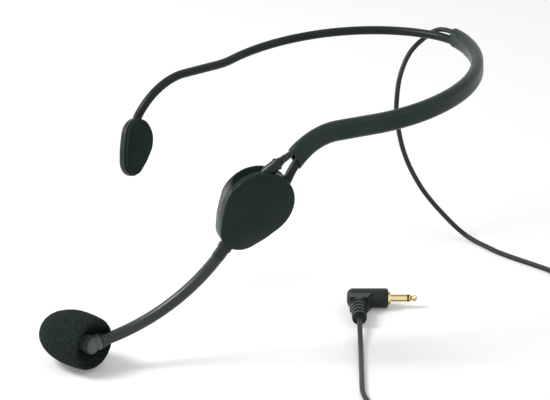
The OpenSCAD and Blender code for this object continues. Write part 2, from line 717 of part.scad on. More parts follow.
// ---- The cable's free part: down from the nape, along the floor, a tied coil, the plug ----
floor_z = -102.35;
lie_z = floor_z + cable_d / 2;
exit_at = at_m(nape_m * gap_m, [0, cable_off, 0]);
hang_points = [[-79.8, -0.3, 10.7], [-80.7, -5.2, 9.9], [-81.6, -10.2, 8.4], [-82, -15.4, 5.6],
    [-81.3, -19.8, 1.7], [-78.5, -22.6, -2.1], [-74.6, -23.6, -6.2], [-70.1, -23, -11.7],
    [-66, -21.6, -18.4], [-63.2, -20, -27.5], [-62.4, -19, -35.6], [-64.4, -18.2, -48],
    [-66.6, -16.6, -57.5], [-69.6, -14.6, -66], [-74, -11.8, -75.5], [-78.8, -8.4, -83.6],
    [-83.2, -4.4, -90.4], [-86.6, 0.6, -96], [-88.6, 6.8, -99.6]];
floor_points = [[-89.3, 14.1], [-88.7, 21.5], [-88.1, 30.5], [-88.7, 40.5], [-90.1, 52.5],
    [-91.1, 63.5], [-90.6, 70.5], [-89.8, 78.4]];
run_points = concat([exit_at], hang_points, [for (p = floor_points) [p[0], p[1], lie_z]]);
module cable_run() {
    color([0.1, 0.1, 0.1]) tube(smooth_route(run_points, 2), cable_d);
}

coil_at = [-106.8, 88.5];
coil_in_r = 9;
coil_out_r = 19;
coil_h = 7.7;
coil_lift = 0.5;
module cable_coil() {
    color([0.12, 0.12, 0.12]) translate([coil_at[0], coil_at[1], floor_z + coil_lift])
        rotate_extrude() translate([coil_in_r, 0]) square([coil_out_r - coil_in_r, coil_h]);
}

module cable_tie() {
    color([0.05, 0.05, 0.05]) translate([coil_at[0], coil_at[1], floor_z]) rotate([0, 0, 150])
        translate([(coil_in_r + coil_out_r) / 2, 0, (coil_h + 0.9) / 2]) difference() {
            cube([coil_out_r - coil_in_r + 2.2, 3.5, coil_h + 0.9], center = true);
            translate([0, 0, 0.05]) cube([coil_out_r - coil_in_r + 1, 5, coil_h + 0.1], center = true);
        }
}

plug_at = [8.1, 39.7, floor_z + 5];
plug_turn = 140;
barrel_d = 9.6;
barrel_len = 20;
plug_relief_x = -4.4;
plug_relief_from = 8.4;
plug_relief_len = 17;
plug_m = shift_m(plug_at) * rz_m(plug_turn);
plug_cord_at = at_m(plug_m, [plug_relief_x, -plug_relief_from - plug_relief_len, 0]);
plug_down = [[33, 62.5, 4.1], [38.1, 68.7, 2.6], [43.3, 74.9, 1.5]];
plug_floor = [[49.1, 81.8], [55.7, 89.5], [62.7, 97.7], [69.7, 105.9], [76.3, 114.1],
    [81.1, 123.1], [82.9, 132.9], [80.9, 142.7], [75.1, 151.5], [66.3, 159.9], [55.7, 168.1],
    [43.7, 176.3], [30.2, 183.9], [15.7, 189.1], [0.7, 190.5], [-14.3, 187.5], [-28.3, 180.9],
    [-41.3, 171.5], [-52.9, 160.1], [-62.9, 147.5], [-71.3, 134.9], [-77.7, 123.1],
    [-82.6, 112.6]];
plug_up = [[-85.5, 106.6, 1.5], [-87.4, 102, 2.6], [-88.9, 98, 4.6]];
plug_points = concat([for (p = plug_down) p + [0, 0, floor_z]],
    [for (p = plug_floor) [p[0], p[1], lie_z]], [for (p = plug_up) p + [0, 0, floor_z]]);
module plug_run() {
    color([0.1, 0.1, 0.1]) tube(smooth_route(concat([plug_cord_at], plug_points), 2), cable_d);
}

module plug_body() {
    color([0.13, 0.14, 0.14]) multmatrix(plug_m) difference() {
        union() {
            translate([-barrel_len / 2 + 3, 0, 0]) rotate([0, 90, 0])
                cylinder(d = barrel_d, h = barrel_len - 3.6);
            translate([-barrel_len / 2 + 3, 0, 0]) rotate([0, 90, 0]) scale(1)
                rotate_extrude() polygon(concat([[0, 0]], [for (a = [0:15:90])
                    [barrel_d / 2 - 3 + 3 * cos(a), -3 * sin(a)]]));
            translate([barrel_len / 2 - 0.6, 0, 0]) rotate([0, 90, 0])
                cylinder(d = barrel_d - 1, h = 0.6);
            translate([0, 0, -4]) linear_extrude(8) polygon([[-8.8, 0], [3.4, 0],
                [-0.2, -plug_relief_from], [-8.6, -plug_relief_from]]);
        }
        translate([-4, 0, 0]) rotate([0, 90, 0]) cylinder(d = 5, h = barrel_len);
        translate([plug_relief_x, 0, 0]) rotate([90, 0, 0]) cylinder(d = cable_d, h = 12);
    }
}

module plug_relief() {
    color([0.2, 0.22, 0.22]) multmatrix(plug_m)
        translate([plug_relief_x, -plug_relief_from - 0.02, 0]) rotate([90, 0, 0]) difference() {
            union() {
                cylinder(d = 5.4, h = plug_relief_len);
                for (rib = [0:4]) translate([0, 0, rib * 3.5])
                    cylinder(d = 8.2 - rib * 0.3, h = 2.2);
            }
            translate([0, 0, -1]) cylinder(d = cable_d, h = plug_relief_len - 2);
        }
}

pin_from = barrel_len / 2;
sleeve_part = pin_len * 0.66;
ring_part = 0.9;
module along_pin() {
    color("gold") multmatrix(plug_m) translate([pin_from, 0, 0]) rotate([0, 90, 0]) children();
}

module plug_sleeve_contact() {
    along_pin() difference() {
        union() {
            cylinder(d = pin_d, h = sleeve_part);
            cylinder(d = 6.4, h = 1.1);
            translate([0, 0, -10]) cylinder(d = 5, h = 10);
        }
        translate([0, 0, -11]) cylinder(d = pin_d - 1.1, h = sleeve_part + 12);
    }
}

module plug_ring() {
    color([0.05, 0.05, 0.05]) multmatrix(plug_m) translate([pin_from, 0, 0]) rotate([0, 90, 0])
        difference() {
            union() {
                translate([0, 0, sleeve_part]) cylinder(d = pin_d, h = ring_part);
                translate([0, 0, -10]) cylinder(d = pin_d - 1.1, h = 10 + sleeve_part);
            }
            translate([0, 0, -11]) cylinder(d = 1.2, h = pin_len + 12);
        }
}

module plug_tip() {
    along_pin() union() {
        translate([0, 0, -11.5]) cylinder(d = 1.2, h = 11.7 + sleeve_part + ring_part);
        translate([0, 0, sleeve_part + ring_part]) rotate_extrude() polygon([[0, 0],
            [pin_d / 2, 0], [pin_d / 2, 0.5], [1.15, 1.3], [1.3, 2.1], [pin_d / 2 - 0.1, 2.9],
            [pin_d / 2 - 0.2, 3.1], [0.7, pin_len - sleeve_part - ring_part],
            [0, pin_len - sleeve_part - ring_part]]);
    }
}

band_wire();
band_skin();
cable_sleeve();
cable_in_sleeve();
cable_at_pod();
pod_cover();
pod_base();
pod_cushion();
pod_screws();
band_anchor();
cable_relief();
cable_clamp();
splice_sleeve();
temple_shell();
temple_cushion();
temple_anchor();
boom_ferrule();
boom_clip();
boom_link_1();
boom_link_2();
boom_link_3();
boom_link_4();
boom_link_5();
boom_link_6();
boom_link_7();
boom_skin();
mic_lead();
mic_stem();
mic_elbow();
mic_rear_cap();
capsule_tube();
capsule_boot();
mic_capsule();
capsule_board();
front_grille();
foam_windscreen();
cable_run();
cable_coil();
cable_tie();
plug_run();
plug_body();
plug_relief();
plug_sleeve_contact();
plug_ring();
plug_tip();
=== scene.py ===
# %% [markdown]
# # A headset microphone, dressed for its render
# The hard parts of this headset already exist as CAD solids, and they come in as a fixed frame.
# This lesson adds what the eye looks for: smooth rubber tubes, a shaped pod, soft cushions, open
# foam and a lead that hangs and lies under its own weight. Every piece is made from a few sizes in
# millimetres, nearly all of them the CAD model's own.

import math

import bpy
import bmesh
from mathutils import Matrix, Vector, noise


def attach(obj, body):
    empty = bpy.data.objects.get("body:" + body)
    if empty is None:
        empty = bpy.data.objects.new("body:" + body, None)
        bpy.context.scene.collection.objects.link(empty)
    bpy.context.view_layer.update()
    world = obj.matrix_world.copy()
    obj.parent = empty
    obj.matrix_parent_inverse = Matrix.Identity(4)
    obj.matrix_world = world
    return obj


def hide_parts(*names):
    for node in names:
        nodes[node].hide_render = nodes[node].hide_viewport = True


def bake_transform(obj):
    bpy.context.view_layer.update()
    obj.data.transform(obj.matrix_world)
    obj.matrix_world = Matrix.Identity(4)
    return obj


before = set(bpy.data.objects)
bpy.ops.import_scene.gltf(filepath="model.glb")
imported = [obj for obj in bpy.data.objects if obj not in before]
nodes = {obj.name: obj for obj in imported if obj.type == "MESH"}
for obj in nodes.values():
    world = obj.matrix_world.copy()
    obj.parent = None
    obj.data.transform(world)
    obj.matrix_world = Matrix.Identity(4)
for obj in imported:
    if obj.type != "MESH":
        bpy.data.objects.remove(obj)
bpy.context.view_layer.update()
scene = bpy.context.scene
print("CAD nodes:", len(nodes))

# %% [markdown]
# ## The camera
# The camera comes first, because the lead has to know what the camera can't see. It looks down at
# about 21 degrees through a long lens, so the headset hardly tapers with distance. We build its
# rotation from three directions: right, up and back.

# %% Place the camera
MM = 0.001
DISTANCE = 1472.45  # from the headset's middle to the camera, in mm
ASIDE, BELOW = 25.716, 56.068  # how far the camera is shifted to the left and down, in mm
PIXELS_PER_MM, PICTURE_WIDTH, SENSOR = 2.062, 550, 36
azimuth, elevation = math.radians(140.238), math.radians(21.143)
back = Vector((math.sin(azimuth) * math.cos(elevation), -math.cos(azimuth) * math.cos(elevation),
               math.sin(elevation)))
right = Vector((math.cos(azimuth), math.sin(azimuth), 0))
up = back.cross(right)
spot = (back * DISTANCE - right * ASIDE - up * BELOW) * MM
camera = bpy.data.objects.new("camera", bpy.data.cameras.new("camera"))
scene.collection.objects.link(camera)
camera.matrix_world = Matrix.Translation(spot) @ Matrix((right, up, back)).transposed().to_4x4()
camera.data.sensor_width = SENSOR
camera.data.lens = SENSOR * PIXELS_PER_MM * DISTANCE / PICTURE_WIDTH
camera.data.clip_start = 0.05
scene.camera = camera
print("Camera at", tuple(round(x, 3) for x in spot), "lens", round(camera.data.lens, 1))

# %% [markdown]
# ## The same bends as the real wire
# A bent wire is easiest to describe the way a bending machine makes it: feed, turn the wire, bend.
# Each step below is (feed, turn, radius, angle). A frame is a 4x4 matrix that says where the wire
# is and which way it points, and every step carries it further on.

# %% Frames along the wire
def shift(x, y, z):
    return Matrix.Translation(Vector((x, y, z)) * MM)


def turn(axis, degrees):
    return Matrix.Rotation(math.radians(degrees), 4, axis)


def step(feed, roll, radius, angle):
    return (shift(0, 0, feed) @ turn("Z", roll) @ shift(radius, 0, 0) @ turn("Y", angle)
            @ shift(-radius, 0, 0) @ turn("Z", -roll))


def frames_along(start, steps, every=2.0):
    """The frames along the steps, one for each few degrees of bend."""
    found, here = [start.copy()], start
    for feed, roll, radius, angle in steps:
        if feed:
            found.append(here @ step(feed, roll, radius, 0))
        count = max(1, round(angle / every))
        found += [here @ step(feed, roll, radius, angle * k / count) for k in range(1, count + 1)]
        here = here @ step(feed, roll, radius, angle)
    return found


BAND_TILT, BAND_REACH = 4.5, 80
NAPE = turn("Y", BAND_TILT) @ shift(-BAND_REACH, 0, 0) @ turn("X", -90)
SIDE = [(0, 0, 40, 17), (0, 0, 72, 52), (0, 0, 80, 33), (0, 230, 70, 9.5)]
ARM = SIDE + [(22, 98, 33, 60)]
arm_end = frames_along(NAPE, ARM)[-1]
print("The arm ends at", [round(x / MM, 1) for x in arm_end.translation])

# %% [markdown]
# ## Frames for the pod and the boom
# The pod turns a little towards the front and leans towards the floor. A last short bend lays the
# wire's tail in the pod's plane. The boom starts in the pod and turns a few degrees at each ball.

# %% Frames of the pod, the boom and the capsule
TAIL_R = 8
LINK_PITCH, LINK_TURN = 8.8, 5.6
POD_TURN = turn("Z", -18) @ turn("X", -12) @ turn("X", -90) @ turn("Z", 56)
way = arm_end.to_3x3().inverted() @ POD_TURN.col[0].xyz
tail_bend = (0, math.degrees(math.atan2(way.y, way.x)), TAIL_R, math.degrees(math.acos(way.z)))
tail_from = TAIL_R * math.sin(math.radians(tail_bend[3]))
POD = (Matrix.Translation((arm_end @ step(*tail_bend)).translation) @ POD_TURN
       @ shift(-tail_from, 0, 0))
RELIEF = POD @ shift(1.6, -12.6, 0) @ turn("Z", -20) @ turn("Y", 90)
FERRULE = POD @ shift(50.5, -5.6, 0) @ turn("Z", 1.5) @ turn("Y", 90)
LINKS = [FERRULE @ turn("X", LINK_TURN)]
for _ in range(7):
    LINKS.append(LINKS[-1] @ shift(0, 0, LINK_PITCH) @ turn("X", LINK_TURN))
STEM = LINKS[-1]
CAPSULE = STEM @ shift(0, 0, 10.2) @ turn("Z", 4.5) @ turn("Y", 60.5)
print("The capsule is at", [round(x / MM, 1) for x in CAPSULE.translation])

# %% [markdown]
# ## One curve for the whole lead
# The lead is one open curve: out of the sleeve at the nape, down, along the floor, round a neat
# coil that lies out of the camera's sight, and back to the plug. The points are listed, and a
# Catmull-Rom curve runs through them, so that no bend has a corner.

# %% The lead's route
FLOOR = -102.35
LEAD_D = 2.5
LEAD_SIDE = -4.8  # the lead lies beside the wire in the sleeve
SLEEVE_FROM = math.degrees(4.5 / 40)  # the sleeve starts 4.5 mm past the nape, on a 40 mm bend


def through(points, pieces):
    """A smooth curve through the points, with so many pieces between two of them."""
    out, last = [], len(points) - 1
    for i in range(last):
        a, b, c, d = (Vector(points[min(max(j, 0), last)]) for j in (i - 1, i, i + 1, i + 2))
        for k in range(pieces):
            t = k / pieces
            out.append(0.5 * (2 * b + (c - a) * t + (2 * a - 5 * b + 4 * c - d) * t ** 2
                              + (3 * b - a - 3 * c + d) * t ** 3))
    return out + [Vector(points[last])]


START = NAPE @ step(0, 0, 40, SLEEVE_FROM)
leave = START @ Vector((0, LEAD_SIDE * MM, 0)) / MM
hang = [(-79.8, -0.3, 10.7), (-80.7, -5.2, 9.9), (-81.6, -10.2, 8.4), (-82, -15.4, 5.6),
        (-81.3, -19.8, 1.7), (-78.5, -22.6, -2.1), (-74.6, -23.6, -6.2), (-70.1, -23, -11.7),
        (-66, -21.6, -18.4), (-63.2, -20, -27.5), (-62.4, -19, -35.6), (-64.4, -18.2, -48),
        (-66.6, -16.6, -57.5), (-69.6, -14.6, -66), (-74, -11.8, -75.5), (-78.8, -8.4, -83.6),
        (-83.2, -4.4, -90.4), (-86.6, 0.6, -96), (-88.6, 6.8, -99.6)]
on_floor = [(-89.3, 14.1), (-88.7, 21.5), (-88.1, 30.5), (-88.7, 40.5), (-90.1, 52.5),
            (-91.1, 63.5), (-90.6, 70.5), (-89.8, 78.4)]
LIE = FLOOR + LEAD_D / 2
first = [leave] + hang + [(x, y, LIE) for x, y in on_floor]

COIL = Vector((-106.8, 88.5, 0))
COIL_TURNS, COIL_POINTS = 7.042, 170


def coil_point(turns):
    """Three layers of turns: inwards on the floor, outwards on top of that, inwards again."""
    low = FLOOR + 0.5 + LEAD_D / 2
    layer = sum(max(0.0, min(1.0, (turns - t) / 0.25)) ** 2
                * (3 - 2 * max(0.0, min(1.0, (turns - t) / 0.25))) for t in (3, 6))
    if turns < 3:
        radius = 17.75 - 2.5 * turns
    elif turns < 6:
        radius = 10.25 + 2.4 * (turns - 3)
    else:
        radius = 17.45 - 1.6 * (turns - 6)
    a = math.radians(-15 + 360 * turns)
    return COIL + Vector((radius * math.cos(a), radius * math.sin(a), low + 2.5 * layer))


coil = [coil_point(COIL_TURNS * k / COIL_POINTS) for k in range(COIL_POINTS + 1)]
plug_run = [(-90.3, 93.4, FLOOR + 6.2), (-88.9, 98, FLOOR + 4.6), (-87.4, 102, FLOOR + 2.6),
            (-85.5, 106.6, FLOOR + 1.5)]
plug_run += [(x, y, LIE) for x, y in (
    (-82.6, 112.6), (-77.7, 123.1), (-71.3, 134.9), (-62.9, 147.5), (-52.9, 160.1),
    (-41.3, 171.5), (-28.3, 180.9), (-14.3, 187.5), (0.7, 190.5), (15.7, 189.1), (30.2, 183.9),
    (43.7, 176.3), (55.7, 168.1), (66.3, 159.9), (75.1, 151.5), (80.9, 142.7), (82.9, 132.9),
    (81.1, 123.1), (76.3, 114.1), (69.7, 105.9), (62.7, 97.7), (55.7, 89.5), (49.1, 81.8))]
plug_run += [(43.3, 74.9, FLOOR + 1.5), (38.1, 68.7, FLOOR + 2.6), (33, 62.5, FLOOR + 4.1)]
PLUG = shift(8.1, 39.7, FLOOR + 5) @ turn("Z", 140)
plug_end = PLUG @ (Vector((-4.4, -25.4, 0)) * MM) / MM
route = (through(first, 6) + through([first[-1], coil[0]], 3)[1:] + coil[1:]
         + through([coil[-1]] + plug_run + [plug_end], 6)[1:])
route = [p * MM for p in route]

# %% [markdown]
# ## Materials
# Nearly everything here is black, so the differences are in the shine. Each material mixes two
# close tones with noise and gives the surface a fine grain with a bump, at the size that the real
# moulded rubber, plastic or foam has.

# %% A maker for materials
def soft_black(name, dark, light, roughness, grain=900, bump=0.06, spread=0.08, specular=0.3,
               metallic=0.0, blotch=60):
    """A procedural material: blotchy colour, uneven shine and a fine grain."""
    made = bpy.data.materials.new(name)
    made.use_nodes = True
    tree = made.node_tree
    shader = tree.nodes["Principled BSDF"]
    where = tree.nodes.new("ShaderNodeTexCoord")

    def field(scale, detail):
        texture = tree.nodes.new("ShaderNodeTexNoise")
        texture.inputs["Scale"].default_value = scale
        texture.inputs["Detail"].default_value = detail
        tree.links.new(where.outputs["Object"], texture.inputs["Vector"])
        return texture

    tone = tree.nodes.new("ShaderNodeValToRGB")
    tone.color_ramp.elements[0].position, tone.color_ramp.elements[1].position = 0.3, 0.7
    tone.color_ramp.elements[0].color = (*dark, 1)
    tone.color_ramp.elements[1].color = (*light, 1)
    tree.links.new(field(blotch, 4).outputs["Fac"], tone.inputs["Fac"])
    tree.links.new(tone.outputs["Color"], shader.inputs["Base Color"])
    shine = tree.nodes.new("ShaderNodeMapRange")
    shine.inputs["To Min"].default_value = roughness - spread
    shine.inputs["To Max"].default_value = roughness + spread
    tree.links.new(field(blotch * 4, 3).outputs["Fac"], shine.inputs["Value"])
    tree.links.new(shine.outputs["Result"], shader.inputs["Roughness"])
    height = tree.nodes.new("ShaderNodeBump")
    height.inputs["Strength"].default_value = bump
    height.inputs["Distance"].default_value = 0.0002
    tree.links.new(field(grain, 2).outputs["Fac"], height.inputs["Height"])
    tree.links.new(height.outputs["Normal"], shader.inputs["Normal"])
    shader.inputs["Metallic"].default_value = metallic
    shader.inputs["Specular IOR Level"].default_value = specular
    return made


print("A maker for materials:", soft_black.__name__)

# %% [markdown]
# The palette goes from the dullest skin to the brightest metal. Rubber gets a low specular level,
# since a white room lifts every black surface that shines, and the sizes of the grain differ.

# %% The materials
rubber = soft_black("band_rubber", (0.003, 0.008, 0.007), (0.008, 0.014, 0.012), 0.36,
                    specular=0.2)
sleeve_rubber = soft_black("sleeve_rubber", (0.006, 0.018, 0.014), (0.011, 0.027, 0.021), 0.34,
                           specular=0.22)
boom_rubber = soft_black("boom_rubber", (0.011, 0.017, 0.016), (0.018, 0.026, 0.024), 0.3,
                         specular=0.42)
lead_pvc = soft_black("lead_pvc", (0.013, 0.018, 0.016), (0.022, 0.028, 0.025), 0.4,
                      specular=0.25)
cover_plastic = soft_black("cover_plastic", (0.009, 0.020, 0.018), (0.012, 0.026, 0.023), 0.26,
                           grain=1600, bump=0.03, spread=0.04, specular=0.1)
base_plastic = soft_black("base_plastic", (0.002, 0.007, 0.006), (0.004, 0.011, 0.009), 0.36,
                          grain=1300)
temple_plastic = soft_black("temple_plastic", (0.008, 0.014, 0.013), (0.014, 0.021, 0.019),
                            0.34, grain=1300, specular=0.3)
holder_plastic = soft_black("holder_plastic", (0.072, 0.094, 0.092), (0.1, 0.126, 0.122), 0.38)
relief_rubber = soft_black("relief_rubber", (0.002, 0.010, 0.008), (0.006, 0.016, 0.012), 0.26,
                           specular=0.3, spread=0.03)
cushion_skin = soft_black("cushion_skin", (0.007, 0.016, 0.011), (0.012, 0.024, 0.018), 0.75,
                          grain=700, bump=0.3, specular=0.1)
plug_plastic = soft_black("plug_plastic", (0.014, 0.021, 0.020), (0.022, 0.030, 0.028), 0.36,
                          grain=1200, specular=0.18)
steel = soft_black("steel", (0.5, 0.5, 0.48), (0.62, 0.62, 0.6), 0.32, metallic=1, bump=0.02)
brass = soft_black("brass", (0.6, 0.42, 0.16), (0.72, 0.53, 0.22), 0.3, metallic=1, bump=0.02)
gold = soft_black("gold", (0.5, 0.38, 0.13), (0.66, 0.52, 0.22), 0.16, metallic=1, bump=0.01)
board = soft_black("board", (0.02, 0.12, 0.05), (0.03, 0.17, 0.07), 0.5)
print("Materials:", len(bpy.data.materials))

# %% [markdown]
# ## Painted reflections and a painted sheen
# A thin gilded pin mirrors its surroundings in streaks along its length. They could come from
# objects placed round it, but a colour ramp over the angle to the camera paints these reflections
# into its colour in one node. The pod's base gets a painted sheen: its shine grows along a
# direction, so that one side looks lit and the rest stays shaded.

# %% Painted reflections on the gold and a painted sheen on the base
facing = gold.node_tree.nodes.new("ShaderNodeLayerWeight")
facing.inputs["Blend"].default_value = 0.5
# The ramp paints light and dark reflection bands into the gold's colour by the angle to the camera
streaks = gold.node_tree.nodes.new("ShaderNodeValToRGB")
ramp = streaks.color_ramp
ramp.elements[0].color, ramp.elements[1].color = (0.86, 0.74, 0.42, 1), (0.8, 0.66, 0.34, 1)
for place, colour in ((0.12, (0.78, 0.62, 0.28)), (0.26, (0.13, 0.085, 0.02)),
                      (0.42, (0.6, 0.45, 0.16))):
    ramp.elements.new(place).color = (*colour, 1)
gold.node_tree.links.new(facing.outputs["Facing"], streaks.inputs["Fac"])
gold.node_tree.links.new(streaks.outputs["Color"],
                         gold.node_tree.nodes["Principled BSDF"].inputs["Base Color"])


def painted_sheen_along(material, way, start, end, dull, shiny):
    """Paints a sheen that grows along a direction, so that one side looks lit and the rest shaded.
    """
    tree = material.node_tree
    geometry = tree.nodes.new("ShaderNodeNewGeometry")
    along = tree.nodes.new("ShaderNodeVectorMath")
    along.operation = "DOT_PRODUCT"
    along.inputs[1].default_value = way
    tree.links.new(geometry.outputs["Position"], along.inputs[0])
    ease = tree.nodes.new("ShaderNodeMapRange")
    ease.interpolation_type = "SMOOTHSTEP"
    for key, value in (("From Min", start), ("From Max", end), ("To Min", dull),
                       ("To Max", shiny)):
        ease.inputs[key].default_value = value
    tree.links.new(along.outputs["Value"], ease.inputs["Value"])
    tree.links.new(ease.outputs["Result"],
                   tree.nodes["Principled BSDF"].inputs["Specular IOR Level"])


print("Streaks on the gold:", len(ramp.elements))

# %% [markdown]
# ## Lofts
# A loft joins rings of points into a skin. Tubes, the flat sleeve and the pod's shells are all
# lofts: only the rings differ.

# %% Helpers for lofts
def piece(name, verts, faces, material, body):
    """A mesh object with smooth faces that rides on a body, where one is named."""
    mesh = bpy.data.meshes.new(name)
    mesh.from_pydata([tuple(v) for v in verts], [], faces)
    mesh.validate()
    work = bmesh.new()
    work.from_mesh(mesh)
    bmesh.ops.recalc_face_normals(work, faces=work.faces)
    work.to_mesh(mesh)
    work.free()
    mesh.polygons.foreach_set("use_smooth", [True] * len(mesh.polygons))
    made = bpy.data.objects.new(name, mesh)
    scene.collection.objects.link(made)
    mesh.materials.append(material)
    if body:
        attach(made, body)
    return made


def loft(name, rings, material, body, loop=False):
    """Joins equal rings and caps both ends. loop joins the last ring to the first instead."""
    n = len(rings[0])
    verts = [p for ring in rings for p in ring]
    faces = []
    for i in range(len(rings) if loop else len(rings) - 1):
        a, b = i * n, (i + 1) % len(rings) * n
        faces += [(a + k, a + (k + 1) % n, b + (k + 1) % n, b + k) for k in range(n)]
    if not loop:
        faces += [tuple(range(n)), tuple(reversed(range(len(verts) - n, len(verts))))]
    made = piece(name, verts, faces, material, body)
    made.data.set_sharp_from_angle(angle=math.radians(50))
    return made


def disc(radius, n=32):
    return [(radius * math.cos(math.tau * k / n), radius * math.sin(math.tau * k / n))
            for k in range(n)]


def ring_at(matrix, profile, lift=0.0):
    return [matrix @ (Vector((x, y + lift, 0)) * MM) for x, y in profile]


def mirrored(rings):
    return [[Vector((p.x, -p.y, p.z)) for p in ring] for ring in rings]


def pipe(name, frames, outer, inner, material, body, lift=0.0, far=()):
    """A pipe along frames. far holds the frames that are mirrored for the other arm."""
    def rings(profile):
        return (list(reversed(mirrored([ring_at(m, profile, lift) for m in far])))
                + [ring_at(m, profile, lift) for m in frames])
    return loft(name, rings(outer) + list(reversed(rings(inner))), material, body, loop=True)


# %% [markdown]
# ## The band and its sleeve
# The wire's rubber skin runs from one temple to the other. A flat sleeve slides over it on the left
# side and holds the lead above the wire, so its section is a stadium: two half circles and two
# straight sides.

# %% Make the band
def stadium(width, height, n=16):
    points = []
    for half in (0, 1):
        for k in range(n):
            a = math.pi * (half + k / (n - 1))
            points.append((width / 2 * math.cos(a), width / 2 * math.sin(a)
                           + (1 - 2 * half) * (height - width) / 2))
    return points


SKIN_R, SKIN_BORE_R = 2.15, 1.02
to_skin_end = ARM + [tail_bend, (1.5, 0, 1, 0.001)]
arm_frames = frames_along(NAPE, to_skin_end)
band_skin = pipe("band_skin_tube", arm_frames, disc(SKIN_R), disc(SKIN_BORE_R), rubber, "band",
                 far=arm_frames[1:])
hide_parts("band_skin")

sleeve_frames = frames_along(START, [(0, 0, 40, 17 - SLEEVE_FROM)] + SIDE[1:]
                             + [(22, 98, 33, 44)])
# Its last frames twist more and more, to turn the flat section towards the pod
TWIST, TWISTED_FRAMES = 14, 24
last = len(sleeve_frames) - 1
for k in range(TWISTED_FRAMES):
    ease = (1 - k / TWISTED_FRAMES) ** 2
    sleeve_frames[last - k] = sleeve_frames[last - k] @ turn("Z", TWIST * ease)
sleeve = pipe("flat_sleeve", sleeve_frames, stadium(5.9, 10), stadium(4.5, 8.6), sleeve_rubber,
              "band", lift=-2.05)
# Its end at the pod is cut on a slant, so that the lead's side is the shorter one
SLANT_LENGTH, SLANT, PIVOT = 8, 0.38, 2.3
cut = sleeve_frames[-1]
cut_back = cut.inverted()
for v in sleeve.data.vertices:
    place = cut_back @ v.co / MM
    if -SLANT_LENGTH < place.z < 0.01 and place.xy.length < 12:
        reach = (1 + place.z / SLANT_LENGTH) * SLANT * (place.y + PIVOT)
        v.co += cut.col[2].xyz * reach * MM
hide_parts("cable_sleeve")
print("Band faces:", len(band_skin.data.polygons), "sleeve faces:", len(sleeve.data.polygons))

# %% [markdown]
# The lead goes through the sleeve, leaves it a little before its end and enters the pod through a
# ringed relief. One tube stands for the whole of that stretch, and a Bezier curve fills the gap
# between two parts whose directions are known.

# %% The lead inside the sleeve
def bezier(a, b, c, d, t):
    return ((1 - t) ** 3 * a + 3 * t * (1 - t) ** 2 * b + 3 * t * t * (1 - t) * c + t ** 3 * d)


def tube(name, points, radius, material, body, sides=16):
    """A tube along points, with the ring's turn carried along without a twist."""
    points = [Vector(p) for p in points]
    ways = [(points[min(i + 1, len(points) - 1)] - points[max(i - 1, 0)]).normalized()
            for i in range(len(points))]
    across = ways[0].orthogonal().normalized()
    radii = radius if isinstance(radius, list) else [radius] * len(points)
    rings = []
    for p, along, r in zip(points, ways, radii):
        across = (across - along * across.dot(along)).normalized()
        other = along.cross(across)
        rings.append([p + r * MM * (across * math.cos(math.tau * k / sides)
                                    + other * math.sin(math.tau * k / sides))
                      for k in range(sides)])
    return loft(name, rings, material, body)


FREE_FRAMES = 3  # the lead leaves the sleeve so many frames before its end
PULL = 3.2
RELIEF_END = -8.8
in_sleeve = [m @ Vector((0, LEAD_SIDE * MM, 0)) for m in sleeve_frames[:-FREE_FRAMES]]
out_of_sleeve = sleeve_frames[-1 - FREE_FRAMES]
out_at, in_at = in_sleeve[-1], RELIEF @ Vector((0, 0, RELIEF_END * MM))
gap = (out_at, out_at + out_of_sleeve.col[2].xyz * PULL * MM,
       in_at - RELIEF.col[2].xyz * PULL * MM, in_at)
bridge = [bezier(*gap, k / 12) for k in range(1, 13)]
inside = [RELIEF @ Vector((0, 0, z * MM)) for z in (-6, -3, 0, 3, 6, 9, 12)]
held_lead = tube("held_lead", in_sleeve + bridge + inside, LEAD_D / 2, lead_pvc, "band")
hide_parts("cable_in_sleeve", "cable_at_pod")
print("Held lead points:", len(in_sleeve) + len(bridge) + len(inside))

# %% [markdown]
# The relief is a short rubber barrel in the pod's wall, and a thin neck with shallow rings goes on
# from it along the lead, so that the lead can't kink there. The barrel is a turned profile whose
# small roundings catch the light in a soft line. The neck bends with the lead, so it is a tube on
# the same curve.

# %% Make the cable relief
relief_profile = [(1.28, 4.4), (3.0, 4.4), (3.0, 3.2), (2.7, 3.15), (2.7, -5.3), (2.78, -5.5),
                  (2.92, -5.62), (3.0, -5.85), (3.0, -6.6), (2.9, -6.88), (2.65, -7.0),
                  (2.3, -7.05), (2.05, -8.0), (1.9, -8.7), (1.6, RELIEF_END), (1.28, RELIEF_END)]
relief = loft("relief_barrel", [ring_at(RELIEF @ shift(0, 0, z), disc(r, 48))
                                for r, z in relief_profile], relief_rubber, "band", loop=True)
NECK_STEPS, NECK_SHARE, GROOVE = 30, 0.62, 0.16
neck_way = [bezier(*gap, 1 - NECK_SHARE * k / NECK_STEPS) for k in range(NECK_STEPS + 1)]
neck_radii = [1.8 - 0.36 * k / NECK_STEPS - (GROOVE if k % 6 in (4, 5) else 0)
              for k in range(NECK_STEPS + 1)]
relief_tail = tube("relief_tail", neck_way, neck_radii, relief_rubber, "band", 32)
for part in (relief, relief_tail):
    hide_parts("cable_relief")
print("Relief faces:", len(relief.data.polygons), "and", len(relief_tail.data.polygons))

# %% [markdown]
# ## Egg-shaped shells
# The pod's outline is an egg: one large circle, one small one, and the lines that touch both. Rings
# step in from that outline, first round the edge, then up the crown.

# %% Helpers for egg shapes
EGG_POINTS, FINE_POINTS, FULLER = 96, 1440, 0.45


